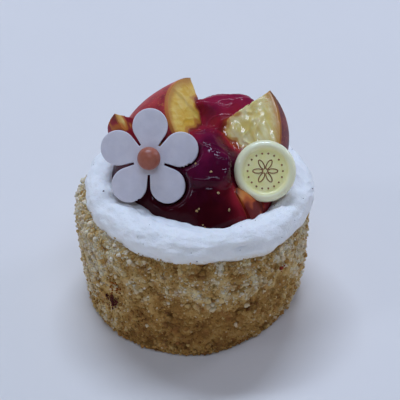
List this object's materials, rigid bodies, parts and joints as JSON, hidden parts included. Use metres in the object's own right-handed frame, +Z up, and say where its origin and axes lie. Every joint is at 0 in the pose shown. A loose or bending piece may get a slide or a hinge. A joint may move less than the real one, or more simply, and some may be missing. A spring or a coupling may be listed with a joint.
{
  "type": "individual cheesecake",
  "caption": "Small round cake in a crumb coat, with a ring of whipped cream, glazed nectarine pieces and chocolate decorations on top.",
  "frame": {"origin": "middle of the flat base that the cake stands on", "axes": "+Z up; +Y towards the back, away from the leaning chocolate decorations; +X to the right as seen from the front"},
  "size_m": [0.0782, 0.0766, 0.0721],
  "materials": {
    "crumb_coat": "rough fine sponge crumbs, pale with golden brown patches",
    "whipped_cream": "soft satin cream with dark vanilla specks",
    "fruit_glaze": "wet dark red translucent glaze",
    "nectarine": "glazed yellow flesh with red skin",
    "white_chocolate": "satin moulded chocolate",
    "caramel_chocolate": "satin moulded chocolate",
    "tinted_chocolate": "glossy pale yellow-green moulded chocolate with a thin orange-brown ornament"
  },
  "bodies": {
    "root": {"cake_drum": "crumb_coat", "cream_ring": "whipped_cream", "fruit_glaze": "fruit_glaze", "glazed_fruit_front": "fruit_glaze", "glazed_fruit_back": "fruit_glaze", "nectarine_wedge_left": "nectarine", "nectarine_wedge_right": "nectarine", "nectarine_wedge_far_left": "nectarine", "nectarine_wedge_front": "nectarine", "chocolate_flower": "white_chocolate", "flower_centre": "caramel_chocolate", "chocolate_disc": "tinted_chocolate"}
  },
  "joints": []
}
